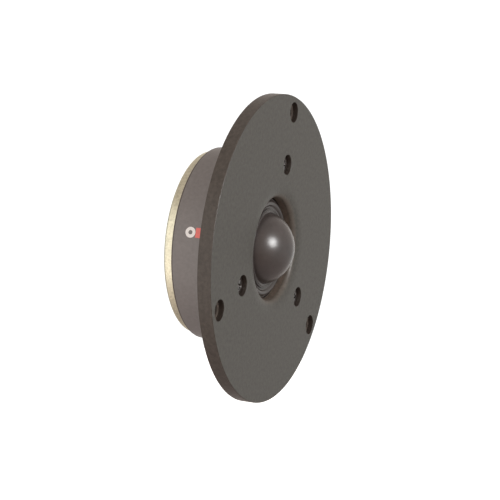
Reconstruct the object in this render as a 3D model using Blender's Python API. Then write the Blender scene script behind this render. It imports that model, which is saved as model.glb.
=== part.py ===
"""Flanged soft-dome tweeter, modelled in metres.

The axis of the driver runs along Y. The front of the faceplate faces -Y, +Z is up, and the origin is the
centre of the flange's rear face, which seats on the panel. A turned profile is a list of (radius, y) points.
"""

import math

import bmesh
import bpy
import numpy as np
from mathutils import Matrix, Vector

MM = 0.001

# Driving dimensions
FLANGE_RADIUS = 55.0 * MM
FLANGE_THICKNESS = 5.0 * MM
FLANGE_EDGE_ROUND = 0.35 * MM
PANEL_HOLE_CIRCLE = 49.4 * MM
MOTOR_SCREW_CIRCLE = 30.4 * MM
HOLE_ANGLES = (90, 210, 330)
COIL_RADIUS = 14.0 * MM
SLEEVE_RADIUS = 34.65 * MM
SLEEVE_WALL = 1.15 * MM
SLEEVE_REAR = 19.7 * MM
MOTOR_RADIUS = 33.1 * MM
MOTOR_REAR = 23.5 * MM

# Clearances
RUNNING_GAP = 0.3 * MM
SEAT_GAP = 0.1 * MM

# Faceplate
FACE_Y = -FLANGE_THICKNESS
COUNTERBORE_RADIUS = 3.75 * MM
COUNTERBORE_DEPTH = 2.0 * MM
SCREW_BORE_DEPTH = 3.0 * MM
CLEARANCE_HOLE_RADIUS = 2.2 * MM
THROAT_RADIUS = 18.4 * MM
LIP_ROUND = 1.77 * MM
LIP_TURN = 67.0
FLARE_RADIUS = 24.5 * MM
FLARE_DEPTH = 0.71 * MM
BOSS_REAR = 1.9 * MM
SEAT_INNER_RADIUS = 45.3 * MM
SEAT_STEP = 0.6 * MM
POCKET_RADIUS = 26.7 * MM
POCKET_FLOOR = -0.8 * MM

# Diaphragm
DOME_EDGE_RADIUS = 12.9 * MM
DOME_EDGE_Y = -1.5 * MM
DOME_TIP_Y = -10.9 * MM
DOME_WALL = 0.3 * MM
SURROUND_INNER = COIL_RADIUS + 0.3 * MM
SURROUND_OUTER = 17.2 * MM
SURROUND_RIM = 20.5 * MM
SURROUND_FLAT_Y = -0.2 * MM
SURROUND_WALL = 0.25 * MM
SURROUND_BULGE = 0.95 * MM
GASKET_INNER = 18.9 * MM
RING_INNER = 17.5 * MM
RING_OUTER = POCKET_RADIUS - RUNNING_GAP
FORMER_WALL = 0.2 * MM
FORMER_REAR = 6.4 * MM
WINDING_WALL = 0.4 * MM
WINDING_LENGTH = 3.0 * MM

# Motor
TOP_PLATE_FRONT = BOSS_REAR + SEAT_GAP
TOP_PLATE_THICKNESS = 4.0 * MM
TOP_PLATE_BORE = 15.0 * MM
MAGNET_BORE = 16.0 * MM
MAGNET_THICKNESS = 10.8 * MM
POLE_RADIUS = 13.3 * MM
POLE_CHAMBER_RADIUS = 7.0 * MM
POLE_CHAMBER_DEPTH = 10.0 * MM
POLE_SPIGOT_RADIUS = 7.9 * MM
BACK_CHAMFER = 1.1 * MM

# Screws and pins
SCREW_RADIUS = 1.9 * MM
SCREW_TIP = 5.6 * MM
THREAD_HOLE_RADIUS = 2.1 * MM
HEAD_RADIUS = 3.3 * MM
HEAD_HEIGHT = 1.8 * MM
PIN_RADIUS = 1.0 * MM
PIN_CIRCLE = 23.2 * MM
PIN_ANGLES = (60, 240)

# Terminals, on the +X side behind the flange
BLOCK_X = (35.2 * MM, 42.2 * MM)
BLOCK_REAR = 6.3 * MM
BLOCK_HALF_WIDTH = 11.5 * MM
BLOCK_SCREW_Z = 9.3 * MM
BLOCK_SCREW_RADIUS = 1.1 * MM
BLOCK_SCREW_HEAD = 2.0 * MM
BLOCK_SCREW_TIP = -3.0 * MM
NOTCH_HALF_WIDTH = 7.5 * MM
TAB_X = 38.7 * MM
TAB_Y = 1.4 * MM
TAB_INNER_X = 28.5 * MM
TAB_REAR = 15.0 * MM
TAB_Z = 3.8 * MM
TABS = {"positive": (1, 4.8 * MM, 0.8 * MM), "negative": (-1, 2.8 * MM, 0.5 * MM)}
WIRE_RADIUS = 0.25 * MM

# Printed mark on the sleeve's -X side, a long patch with round ends
MARK_RADIUS = 1.95 * MM
MARK_LENGTH = 7.0 * MM
MARK_Y = 11.5 * MM
MARK_ANGLE = 179.2
MARK_THICKNESS = 0.1 * MM

WIDE_STEPS = 64
NARROW_STEPS = 48
HOLE_STEPS = 20


def clear_scene():
    for obj in list(bpy.data.objects):
        bpy.data.objects.remove(obj, do_unlink=True)


def material(name, colour, roughness, metallic=0.0):
    made = bpy.data.materials.new(name)
    made.use_nodes = True
    shader = made.node_tree.nodes["Principled BSDF"]
    shader.inputs["Base Color"].default_value = (*colour, 1.0)
    shader.inputs["Roughness"].default_value = roughness
    shader.inputs["Metallic"].default_value = metallic
    return made


def add_object(name, mesh, finish=None):
    obj = bpy.data.objects.new(name, mesh)
    bpy.context.scene.collection.objects.link(obj)
    if finish:
        mesh.materials.append(finish)
        mesh.shade_smooth()
        mesh.set_sharp_from_angle(angle=math.radians(35))
    return obj


def mesh_of(name, bm):
    bmesh.ops.recalc_face_normals(bm, faces=bm.faces)
    mesh = bpy.data.meshes.new(name)
    bm.to_mesh(mesh)
    bm.free()
    return mesh


def turned(name, profile, finish, steps=WIDE_STEPS):
    """The closed outline of (radius, y) points spun about the Y axis. Points at radius 0 close on the axis.
    The first copy stands half a step off the X axis, so that no edge runs through the middle of a hole."""
    bm = bmesh.new()
    corners = [bm.verts.new((radius, y, 0)) for radius, y in profile]
    for here, there in zip(corners, corners[1:] + corners[:1]):
        if here.co.x > 0 or there.co.x > 0:
            bm.edges.new((here, there))
    bmesh.ops.spin(
        bm, geom=bm.verts[:] + bm.edges[:], axis=(0, 1, 0), cent=(0, 0, 0), steps=steps, angle=math.tau
    )
    bmesh.ops.remove_doubles(bm, verts=bm.verts, dist=1e-6)
    bmesh.ops.rotate(bm, verts=bm.verts, cent=(0, 0, 0), matrix=Matrix.Rotation(math.pi / steps, 3, "Y"))
    return add_object(name, mesh_of(name, bm), finish)


def tube(name, inner, outer, front, rear, finish, steps=WIDE_STEPS):
    return turned(name, [(inner, front), (outer, front), (outer, rear), (inner, rear)], finish, steps)


def block(name, low, high, finish=None):
    """A box between two corners."""
    bm = bmesh.new()
    bmesh.ops.create_cube(bm, size=1)
    low, high = Vector(low), Vector(high)
    bmesh.ops.transform(
        bm, matrix=Matrix.Translation((low + high) / 2) @ Matrix.Diagonal((*(high - low), 1)), verts=bm.verts
    )
    return add_object(name, mesh_of(name, bm), finish)


def rod(name, radius, front, rear, x=0.0, z=0.0, finish=None, steps=HOLE_STEPS):
    """A cylinder along Y, centred on (x, z)."""
    made = turned(name, [(0, front), (radius, front), (radius, rear), (0, rear)], finish, steps)
    made.data.transform(Matrix.Translation((x, 0, z)))
    return made


def cut(target, cutter):
    cutter.hide_render = True
    cutter.display_type = "WIRE"
    cutter.parent = target
    boolean = target.modifiers.new(cutter.name, "BOOLEAN")
    boolean.operation = "DIFFERENCE"
    boolean.object = cutter


def on_circle(radius, degrees):
    angle = math.radians(degrees)
    return radius * math.cos(angle), radius * math.sin(angle)


def arc(centre, radius, start, end, count):
    """Points on an arc in the (radius, y) plane, angles in degrees from the +radius direction towards +y."""
    return [
        (centre[0] + radius * math.cos(a), centre[1] + radius * math.sin(a))
        for a in np.radians(np.linspace(start, end, count))
    ]


def bulging(start, end, bulge, count):
    """Points on the arc from start to end whose middle stands proud of the chord by bulge, towards -y."""
    start, end = np.array(start), np.array(end)
    chord = end - start
    half = np.linalg.norm(chord) / 2
    radius = (half**2 + bulge**2) / (2 * bulge)
    outward = np.array((chord[1], -chord[0])) / (2 * half)
    centre = (start + end) / 2 - outward * (radius - bulge)
    spread = math.asin(half / radius)
    middle = math.atan2(outward[1], outward[0])
    along = np.linspace(-spread, spread, count)
    if np.dot(chord, (-outward[1], outward[0])) < 0:
        along = -along
    return [tuple(centre + radius * np.array((math.cos(middle + a), math.sin(middle + a)))) for a in along]


def stepped_cutter(name, floor, x, z):
    """A counterbore from the front with a clearance hole through its floor."""
    front, rear = FACE_Y - 1 * MM, BOSS_REAR + 1 * MM
    profile = [(0, front), (COUNTERBORE_RADIUS, front), (COUNTERBORE_RADIUS, floor)]
    profile += [(CLEARANCE_HOLE_RADIUS, floor), (CLEARANCE_HOLE_RADIUS, rear), (0, rear)]
    cutter = turned(name, profile, None, HOLE_STEPS)
    cutter.data.transform(Matrix.Translation((x, 0, z)))
    return cutter


def make_faceplate(finish):
    lip_rise = LIP_ROUND * math.sin(math.radians(LIP_TURN))
    lip_centre = (THROAT_RADIUS + LIP_ROUND, FACE_Y + FLARE_DEPTH + lip_rise)
    lip = arc(lip_centre, LIP_ROUND, 180, 180 + LIP_TURN, 6)
    edge_centre = (FLANGE_RADIUS - FLANGE_EDGE_ROUND, FACE_Y + FLANGE_EDGE_ROUND)
    profile = [(THROAT_RADIUS, POCKET_FLOOR)] + lip
    for share in (0.1, 0.22, 0.37, 0.58, 1.0):
        radius = lip[-1][0] + share * (FLARE_RADIUS - lip[-1][0])
        profile.append((radius, FACE_Y + FLARE_DEPTH * (1 - share) ** 3))
    profile += arc(edge_centre, FLANGE_EDGE_ROUND, -90, 0, 4)
    profile += [(FLANGE_RADIUS, 0), (SEAT_INNER_RADIUS, 0), (SEAT_INNER_RADIUS, -SEAT_STEP)]
    profile += [(MOTOR_RADIUS, -SEAT_STEP), (MOTOR_RADIUS, BOSS_REAR)]
    profile += [(POCKET_RADIUS, BOSS_REAR), (POCKET_RADIUS, POCKET_FLOOR)]
    faceplate = turned("faceplate", profile, finish)
    for number, degrees in enumerate(HOLE_ANGLES, 1):
        for kind, circle, depth in (
            ("panel", PANEL_HOLE_CIRCLE, COUNTERBORE_DEPTH),
            ("motor", MOTOR_SCREW_CIRCLE, SCREW_BORE_DEPTH),
        ):
            x, z = on_circle(circle, degrees)
            cut(faceplate, stepped_cutter(f"{kind}_hole_{number}", FACE_Y + depth, x, z))
    notch_low = (TAB_INNER_X - 3 * MM, 0.5 * MM, -NOTCH_HALF_WIDTH)
    notch_high = (BLOCK_X[0] - 1 * MM, BOSS_REAR + 1 * MM, NOTCH_HALF_WIDTH)
    cut(faceplate, block("terminal_notch", notch_low, notch_high))
    bore, floor = BLOCK_SCREW_RADIUS + SEAT_GAP, BLOCK_SCREW_TIP - 0.4 * MM
    for side in (-1, 1):
        name, z = f"block_screw_hole_{side}", side * BLOCK_SCREW_Z
        cut(faceplate, rod(name, bore, floor, 1 * MM, sum(BLOCK_X) / 2, z))


def cross_recess(screw, x, z, head_front):
    """A cross-shaped driver recess: two slots at right angles."""
    for number, (half_x, half_z) in enumerate(((1.9, 0.45), (0.45, 1.9)), 1):
        low = (x - half_x * MM, head_front - 1 * MM, z - half_z * MM)
        high = (x + half_x * MM, head_front + 1.3 * MM, z + half_z * MM)
        cut(screw, block(f"{screw.name}_recess_{number}", low, high))


def make_motor_screws(finish):
    head_rear = FACE_Y + SCREW_BORE_DEPTH - SEAT_GAP
    head_front = head_rear - HEAD_HEIGHT
    dome = 0.4 * MM
    profile = [(0, head_front - dome / 2), (HEAD_RADIUS * 0.6, head_front), (HEAD_RADIUS, head_front + dome)]
    profile += [(HEAD_RADIUS, head_rear), (SCREW_RADIUS, head_rear)]
    profile += [(SCREW_RADIUS, SCREW_TIP), (0, SCREW_TIP)]
    for number, degrees in enumerate(HOLE_ANGLES, 1):
        x, z = on_circle(MOTOR_SCREW_CIRCLE, degrees)
        screw = turned(f"faceplate_screw_{number}", profile, finish, HOLE_STEPS)
        screw.data.transform(Matrix.Translation((x, 0, z)))
        cross_recess(screw, x, z, head_front)


def dome_arc(edge_radius, edge_y, tip_y, count):
    """The spherical cap's profile from its edge to its tip."""
    height = edge_y - tip_y
    sphere = (edge_radius**2 + height**2) / (2 * height)
    centre = (0, tip_y + sphere)
    edge_angle = math.degrees(math.atan2(edge_y - centre[1], edge_radius))
    points = arc(centre, sphere, edge_angle, -90, count)
    points[-1] = (0, tip_y)
    return points


def make_dome(finish):
    collar_radius = COIL_RADIUS + 0.1 * MM
    outer = dome_arc(DOME_EDGE_RADIUS, DOME_EDGE_Y, DOME_TIP_Y, 8)
    inner = dome_arc(DOME_EDGE_RADIUS - DOME_WALL, DOME_EDGE_Y + DOME_WALL, DOME_TIP_Y + DOME_WALL, 8)
    collar = [(collar_radius, DOME_EDGE_Y + DOME_WALL), (collar_radius, DOME_EDGE_Y)]
    turned("dome", collar + outer + inner[::-1], finish, NARROW_STEPS)


def make_surround(finish):
    inner_y = DOME_EDGE_Y + 0.05 * MM
    front = bulging((SURROUND_INNER, inner_y), (SURROUND_OUTER, SURROUND_FLAT_Y), SURROUND_BULGE, 6)
    front.append((SURROUND_RIM, SURROUND_FLAT_Y))
    rear = [(radius, y + SURROUND_WALL) for radius, y in front]
    turned("surround", front + rear[::-1], finish, NARROW_STEPS)


def make_coil(former_finish, copper):
    front = DOME_EDGE_Y + DOME_WALL + SEAT_GAP
    inner = COIL_RADIUS - FORMER_WALL / 2
    tube("coil_former", inner, inner + FORMER_WALL, front, FORMER_REAR, former_finish, NARROW_STEPS)
    middle = TOP_PLATE_FRONT + TOP_PLATE_THICKNESS / 2
    winding_inner = inner + FORMER_WALL + 0.05 * MM
    ends = (middle - WINDING_LENGTH / 2, middle + WINDING_LENGTH / 2)
    tube("voice_coil", winding_inner, winding_inner + WINDING_WALL, *ends, copper, NARROW_STEPS)


def make_diaphragm_ring(plastic, foam, brass):
    ring_front = SURROUND_FLAT_Y + SURROUND_WALL + SEAT_GAP
    ring = tube("diaphragm_ring", RING_INNER, RING_OUTER, ring_front, BOSS_REAR, plastic)
    for name, (side, _, _) in TABS.items():
        low = (RING_INNER - 4 * MM, 0.9 * MM, side * TAB_Z - 1 * MM)
        high = (RING_OUTER + 1 * MM, BOSS_REAR + 1 * MM, side * TAB_Z + 1 * MM)
        cut(ring, block(f"lead_groove_{name}", low, high))
    for number, degrees in enumerate(PIN_ANGLES, 1):
        x, z = on_circle(PIN_CIRCLE, degrees)
        rod(f"locating_pin_{number}", PIN_RADIUS, 0.4 * MM, 4.5 * MM, x, z, brass)
        cut(ring, rod(f"ring_pin_hole_{number}", PIN_RADIUS + SEAT_GAP, -1 * MM, 4 * MM, x, z))
    gasket_ends = (POCKET_FLOOR + SEAT_GAP, SURROUND_FLAT_Y - SEAT_GAP)
    tube("faceplate_gasket", GASKET_INNER, RING_OUTER, *gasket_ends, foam)


def make_top_plate(steel):
    rear = TOP_PLATE_FRONT + TOP_PLATE_THICKNESS
    plate = tube("top_plate", TOP_PLATE_BORE, MOTOR_RADIUS, TOP_PLATE_FRONT, rear, steel)
    holes = [(MOTOR_SCREW_CIRCLE, degrees, THREAD_HOLE_RADIUS) for degrees in HOLE_ANGLES]
    holes += [(PIN_CIRCLE, degrees, PIN_RADIUS + SEAT_GAP) for degrees in PIN_ANGLES]
    for number, (circle, degrees, radius) in enumerate(holes, 1):
        x, z = on_circle(circle, degrees)
        cut(plate, rod(f"top_plate_hole_{number}", radius, 0, 12 * MM, x, z))
    return rear


def make_motor(steel, ferrite, zinc, felt, sleeve_finish):
    magnet_front = make_top_plate(steel) + 2 * SEAT_GAP
    magnet_rear = magnet_front + MAGNET_THICKNESS
    tube("magnet", MAGNET_BORE, MOTOR_RADIUS, magnet_front, magnet_rear, ferrite)
    plate_front = magnet_rear + 2 * SEAT_GAP
    plate_bore = POLE_SPIGOT_RADIUS + SEAT_GAP
    profile = [(plate_bore, plate_front), (MOTOR_RADIUS, plate_front)]
    profile += [(MOTOR_RADIUS, MOTOR_REAR - BACK_CHAMFER), (MOTOR_RADIUS - BACK_CHAMFER, MOTOR_REAR)]
    profile += [(plate_bore, MOTOR_REAR)]
    turned("back_plate", profile, zinc)
    pole_rear = plate_front - SEAT_GAP
    chamber_floor = TOP_PLATE_FRONT + POLE_CHAMBER_DEPTH
    spigot_rear = MOTOR_REAR - RUNNING_GAP
    profile = [(0, chamber_floor), (POLE_CHAMBER_RADIUS, chamber_floor)]
    profile += [(POLE_CHAMBER_RADIUS, TOP_PLATE_FRONT), (POLE_RADIUS, TOP_PLATE_FRONT)]
    profile += [(POLE_RADIUS, pole_rear), (POLE_SPIGOT_RADIUS, pole_rear)]
    profile += [(POLE_SPIGOT_RADIUS, spigot_rear), (0, spigot_rear)]
    turned("pole_piece", profile, steel, NARROW_STEPS)
    plug_ends = (TOP_PLATE_FRONT + 1 * MM, chamber_floor - SEAT_GAP)
    rod("chamber_felt", POLE_CHAMBER_RADIUS - SEAT_GAP, *plug_ends, finish=felt, steps=32)
    ring_ends = (TOP_PLATE_FRONT - 1.1 * MM, TOP_PLATE_FRONT - SEAT_GAP)
    tube("pole_felt_ring", POLE_CHAMBER_RADIUS, POLE_RADIUS - 0.6 * MM, *ring_ends, felt, 32)
    make_sleeve(sleeve_finish)


def make_sleeve(finish):
    rim = 0.35 * MM
    inner, outer, front = SLEEVE_RADIUS - SLEEVE_WALL, SLEEVE_RADIUS, RUNNING_GAP - SEAT_STEP
    profile = [(inner, front), (outer, front), (outer, SLEEVE_REAR - rim), (outer - rim, SLEEVE_REAR)]
    sleeve = turned("magnet_sleeve", profile + [(inner, SLEEVE_REAR)], finish)
    notch_low = (SLEEVE_RADIUS - 6 * MM, front - 1 * MM, -NOTCH_HALF_WIDTH)
    cut(sleeve, block("sleeve_notch", notch_low, (SLEEVE_RADIUS + 4 * MM, 2.4 * MM, NOTCH_HALF_WIDTH)))


def make_sleeve_mark(finish):
    """A thin patch wrapped on the sleeve: a disc whose two halves are drawn apart along the driver's axis."""
    inner = SLEEVE_RADIUS + SEAT_GAP
    drawn = MARK_LENGTH / 2 - MARK_RADIUS
    bm = bmesh.new()
    bmesh.ops.create_circle(bm, cap_ends=True, radius=MARK_RADIUS, segments=24)
    bmesh.ops.inset_region(bm, faces=bm.faces[:], thickness=MARK_RADIUS / 2)
    lifted = bmesh.ops.extrude_face_region(bm, geom=bm.faces[:])["geom"]
    raised = {vert for vert in lifted if isinstance(vert, bmesh.types.BMVert)}
    for vert in bm.verts:
        radius = inner + (MARK_THICKNESS if vert in raised else 0)
        angle = math.radians(MARK_ANGLE) + vert.co.y / inner
        half = 0 if abs(vert.co.x) < 1e-6 else math.copysign(drawn, vert.co.x)
        vert.co = (radius * math.cos(angle), MARK_Y + vert.co.x + half, radius * math.sin(angle))
    add_object("sleeve_mark", mesh_of("sleeve_mark", bm), finish)


def tab_outline(thickness):
    """The bent strip's outline in the (x, y) plane: in along X behind the flange, then rearwards."""
    half = thickness / 2
    return [
        (TAB_INNER_X, TAB_Y - half),
        (TAB_X + half, TAB_Y - half),
        (TAB_X + half, TAB_REAR - 0.6 * MM),
        (TAB_X, TAB_REAR),
        (TAB_X - half, TAB_REAR - 0.6 * MM),
        (TAB_X - half, TAB_Y + half),
        (TAB_INNER_X, TAB_Y + half),
    ]


def make_tab(name, z, width, thickness, finish):
    bm = bmesh.new()
    face = bm.faces.new([bm.verts.new((x, y, z - width / 2)) for x, y in tab_outline(thickness)])
    lifted = bmesh.ops.extrude_face_region(bm, geom=[face])["geom"]
    bmesh.ops.translate(bm, verts=[v for v in lifted if isinstance(v, bmesh.types.BMVert)], vec=(0, 0, width))
    tab = add_object(name, mesh_of(name, bm), finish)
    eye = rod(f"{name}_eye", 0.7 * MM, -3 * MM, 3 * MM, steps=12)
    eye.rotation_euler.z = math.pi / 2
    eye.location = (TAB_X, TAB_REAR - 3.2 * MM, z)
    cut(tab, eye)


def make_lead(name, side, finish):
    """The thin flexible lead from the coil former to the terminal's inner end, slack in its free span."""
    start = Vector((COIL_RADIUS + 0.35 * MM, TAB_Y, side * TAB_Z))
    end = Vector((TAB_INNER_X - RUNNING_GAP, TAB_Y, side * TAB_Z))
    path = bpy.data.curves.new(name, "CURVE")
    path.dimensions = "3D"
    path.bevel_depth = WIRE_RADIUS
    path.bevel_resolution = 1
    path.use_fill_caps = True
    line = path.splines.new("POLY")
    count = 16
    line.points.add(count - 1)
    for number, point in enumerate(line.points):
        share = number / (count - 1)
        place = start.lerp(end, share)
        slack = max(0.0, math.sin(math.pi * min(1.0, share / 0.25))) * 0.35 * MM
        point.co = (place.x, place.y - slack, place.z, 1)
    path.materials.append(finish)
    lead = bpy.data.objects.new(name, path)
    bpy.context.scene.collection.objects.link(lead)


def make_terminals(plastic, tin, black_screw, tinsel):
    front = RUNNING_GAP - SEAT_STEP
    low, high = (BLOCK_X[0], front, -BLOCK_HALF_WIDTH), (BLOCK_X[1], BLOCK_REAR, BLOCK_HALF_WIDTH)
    body = block("terminal_block", low, high, plastic)
    gap = RUNNING_GAP
    for name, (side, width, thickness) in TABS.items():
        z, half, across = side * TAB_Z, thickness / 2 + gap, width / 2 + gap
        make_tab(f"terminal_{name}", z, width, thickness, tin)
        make_lead(f"coil_lead_{name}", side, tinsel)
        start, end = TAB_Y - half, TAB_Y + half
        in_low, in_high = (BLOCK_X[0] - 1 * MM, start, z - across), (TAB_X + half, end, z + across)
        cut(body, block(f"block_slot_in_{name}", in_low, in_high))
        up_low, up_high = (TAB_X - half, start, z - across), (TAB_X + half, BLOCK_REAR + 1 * MM, z + across)
        cut(body, block(f"block_slot_up_{name}", up_low, up_high))
    x = sum(BLOCK_X) / 2
    for number, side in enumerate((1, -1), 1):
        z = side * BLOCK_SCREW_Z
        cut(body, rod(f"block_hole_{number}", BLOCK_SCREW_RADIUS + SEAT_GAP, -1 * MM, 8 * MM, x, z))
        rear = BLOCK_REAR + SEAT_GAP
        profile = [(0, BLOCK_SCREW_TIP), (BLOCK_SCREW_RADIUS, BLOCK_SCREW_TIP), (BLOCK_SCREW_RADIUS, rear)]
        profile += [(BLOCK_SCREW_HEAD, rear), (BLOCK_SCREW_HEAD, rear + 0.8 * MM)]
        profile += [(BLOCK_SCREW_HEAD * 0.6, rear + 1.2 * MM), (0, rear + 1.2 * MM)]
        screw = turned(f"terminal_block_screw_{number}", profile, black_screw, HOLE_STEPS)
        screw.data.transform(Matrix.Translation((x, 0, z)))


def main():
    clear_scene()
    black_plastic = material("black_plastic", (0.11, 0.11, 0.10), 0.55)
    fabric = material("coated_fabric", (0.07, 0.06, 0.06), 0.35)
    zinc = material("yellow_zinc", (0.72, 0.63, 0.42), 0.35, 1.0)
    steel = material("bare_steel", (0.45, 0.45, 0.45), 0.4, 1.0)
    dark_screw = material("dark_screw", (0.03, 0.03, 0.03), 0.4, 0.8)
    brass = material("brass", (0.78, 0.62, 0.32), 0.3, 1.0)
    tin = material("tinned_brass", (0.75, 0.73, 0.68), 0.3, 1.0)
    copper = material("enamelled_copper", (0.72, 0.35, 0.16), 0.3, 1.0)
    aluminium = material("aluminium", (0.7, 0.7, 0.72), 0.35, 1.0)
    felt = material("felt", (0.06, 0.06, 0.07), 0.95)
    foam = material("foam", (0.05, 0.05, 0.05), 0.9)
    ferrite = material("ferrite", (0.08, 0.08, 0.085), 0.7)
    sleeve = material("sleeve_plastic", (0.16, 0.15, 0.145), 0.5)
    print_red = material("print_red", (0.75, 0.08, 0.06), 0.5)
    make_faceplate(black_plastic)
    make_motor_screws(dark_screw)
    make_dome(fabric)
    make_surround(fabric)
    make_coil(aluminium, copper)
    make_diaphragm_ring(black_plastic, foam, brass)
    make_motor(steel, ferrite, zinc, felt, sleeve)
    make_sleeve_mark(print_red)
    make_terminals(black_plastic, tin, dark_screw, copper)


main()
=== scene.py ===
"""Looks for the flanged soft-dome tweeter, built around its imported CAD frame.

The driver's axis runs along Y with the front towards -Y. A turned profile is a list of (radius, y) points in
metres. Every piece is made in place, in the frame's own coordinates, so its object sits at the origin.
"""

import math

import bmesh
import bpy
import numpy as np
from mathutils import Matrix, Vector


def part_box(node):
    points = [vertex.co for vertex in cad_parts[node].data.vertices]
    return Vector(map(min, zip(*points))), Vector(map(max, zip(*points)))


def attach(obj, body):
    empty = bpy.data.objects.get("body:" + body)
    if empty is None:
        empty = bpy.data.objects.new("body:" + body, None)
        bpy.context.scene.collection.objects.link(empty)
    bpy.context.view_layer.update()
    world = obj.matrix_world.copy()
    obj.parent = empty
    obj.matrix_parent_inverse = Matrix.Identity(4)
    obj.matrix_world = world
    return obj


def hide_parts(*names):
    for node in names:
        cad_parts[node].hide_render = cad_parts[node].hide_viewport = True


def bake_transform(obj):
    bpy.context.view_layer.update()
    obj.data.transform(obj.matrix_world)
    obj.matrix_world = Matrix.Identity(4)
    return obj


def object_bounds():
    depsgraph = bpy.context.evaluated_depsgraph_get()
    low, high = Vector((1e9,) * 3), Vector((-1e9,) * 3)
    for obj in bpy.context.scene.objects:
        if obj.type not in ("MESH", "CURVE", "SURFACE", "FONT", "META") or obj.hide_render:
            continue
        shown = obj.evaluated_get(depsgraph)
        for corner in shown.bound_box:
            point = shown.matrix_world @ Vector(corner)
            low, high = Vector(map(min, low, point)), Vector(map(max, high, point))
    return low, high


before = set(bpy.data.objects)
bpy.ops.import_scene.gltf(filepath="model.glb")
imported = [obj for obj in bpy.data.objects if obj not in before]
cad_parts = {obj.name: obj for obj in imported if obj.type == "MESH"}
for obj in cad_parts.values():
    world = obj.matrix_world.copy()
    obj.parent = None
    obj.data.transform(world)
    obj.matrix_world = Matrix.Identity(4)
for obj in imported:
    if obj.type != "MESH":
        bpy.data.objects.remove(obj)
CAD_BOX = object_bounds()

MM = 0.001
FRAME_BODY = "frame"
DIAPHRAGM_BODY = "diaphragm"
ROUND_STEPS = 192   # segments round the driver's axis
SMALL_STEPS = 48    # segments round a hole or a screw
BORE_STEPS = 32     # segments round the narrowest bores
SHARP_ANGLE = 35    # degrees from which an edge is shaded crisp
BEVEL_ANGLE = 50    # degrees from which an edge is rounded
OVERCUT = 1 * MM    # how far a cutter reaches past what it cuts
HAIR = 0.01 * MM    # allowance when faces are told apart by where they are
ON_AXIS = 1e-7      # a profile point with a radius below this lies on the axis


# ---------------------------------------------------------------- sizes read from the frame

def radii(node):
    """The distances of a CAD node's points from the driver's axis, smallest first."""
    return sorted(math.hypot(v.co.x, v.co.z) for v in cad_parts[node].data.vertices)


def front(node):
    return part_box(node)[0].y


def rear(node):
    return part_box(node)[1].y


def centre(node):
    low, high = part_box(node)
    return (low + high) / 2


FLANGE_RADIUS = radii("faceplate")[-1]
FACE_Y = front("faceplate")
BOSS_REAR = rear("faceplate")
THROAT_RADIUS = radii("faceplate")[0]
SLEEVE_RADIUS = radii("magnet_sleeve")[-1]
SLEEVE_REAR = rear("magnet_sleeve")
MOTOR_RADIUS = radii("back_plate")[-1]
MOTOR_REAR = rear("back_plate")
DOME_COLLAR = radii("dome")[-1]
DOME_TIP = front("dome")
MOTOR_SCREWS = [centre(f"faceplate_screw_{n}") for n in (1, 2, 3)]
HEAD_RADIUS = (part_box("faceplate_screw_1")[1].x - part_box("faceplate_screw_1")[0].x) / 2


# ---------------------------------------------------------------- profiles

def between(middle, start, end, count):
    """Points on the shorter arc about the middle from start to end, in the (radius, y) plane."""
    first, last = Vector(start) - middle, Vector(end) - middle
    turn = math.remainder(math.atan2(last.y, last.x) - math.atan2(first.y, first.x), math.tau)
    steps = [Matrix.Rotation(turn * k / (count - 1), 2) @ first for k in range(count)]
    return [tuple(middle + step) for step in steps]


def filleted(corners, points_each=5):
    """The outline through (radius, y, fillet) corners, where a corner that has a fillet becomes an arc."""
    outline = []
    for index, (radius, y, fillet) in enumerate(corners):
        here = Vector((radius, y))
        if not fillet:
            outline.append(tuple(here))
            continue
        to_last = (Vector(corners[index - 1][:2]) - here).normalized()
        to_next = (Vector(corners[(index + 1) % len(corners)][:2]) - here).normalized()
        half = to_last.angle(to_next) / 2
        middle = here + (to_last + to_next).normalized() * fillet / math.sin(half)
        reach = fillet / math.tan(half)
        outline += between(middle, here + to_last * reach, here + to_next * reach, points_each)
    return outline


def arc(middle, radius, start, end, count):
    """Points on an arc in the (radius, y) plane, angles in degrees from the +radius direction towards +y."""
    turns = np.radians(np.linspace(start, end, count))
    return [(middle[0] + radius * math.cos(a), middle[1] + radius * math.sin(a)) for a in turns]


def bulging(start, end, bulge, count):
    """Points on the arc from start out to end, whose middle stands this bulge proud of the chord, towards -y."""
    start, end = Vector(start), Vector(end)
    chord = end - start
    half = chord.length / 2
    radius = (half**2 + bulge**2) / (2 * bulge)
    outward = Vector((chord.y, -chord.x)).normalized()
    middle = (start + end) / 2 - outward * (radius - bulge)
    return between(middle, start, end, count)


# ---------------------------------------------------------------- meshes

def shade(mesh, sharp):
    """Smooth shading, with the edges from this many degrees kept crisp."""
    mesh.shade_smooth()
    mesh.set_sharp_from_angle(angle=math.radians(sharp))


def new_object(name, bm, sharp=SHARP_ANGLE):
    """The bmesh as an object in the scene, with its faces turned outwards."""
    bmesh.ops.recalc_face_normals(bm, faces=bm.faces)
    if bm.calc_volume(signed=True) < 0:
        bmesh.ops.reverse_faces(bm, faces=bm.faces)
    mesh = bpy.data.meshes.new(name)
    bm.to_mesh(mesh)
    bm.free()
    shade(mesh, sharp)
    obj = bpy.data.objects.new(name, mesh)
    bpy.context.scene.collection.objects.link(obj)
    return obj


def spun(profile, steps):
    """The closed outline spun about the Y axis, as a bmesh. Points at radius 0 close on the axis."""
    bm = bmesh.new()
    angles = (np.arange(steps) + 0.5) * math.tau / steps
    rings = []
    for radius, y in profile:
        if radius > ON_AXIS:
            rings.append([bm.verts.new((radius * math.cos(a), y, radius * math.sin(a))) for a in angles])
        else:
            rings.append([bm.verts.new((0, y, 0))] * steps)
    for here, there in zip(rings, rings[1:] + rings[:1]):
        if here[0] is here[1] and there[0] is there[1]:
            continue
        for k in range(steps):
            after = (k + 1) % steps
            bm.faces.new(dict.fromkeys((here[k], here[after], there[after], there[k])))
    return bm


def turned(name, profile, steps=ROUND_STEPS, sharp=SHARP_ANGLE):
    return new_object(name, spun(profile, steps), sharp)


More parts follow.
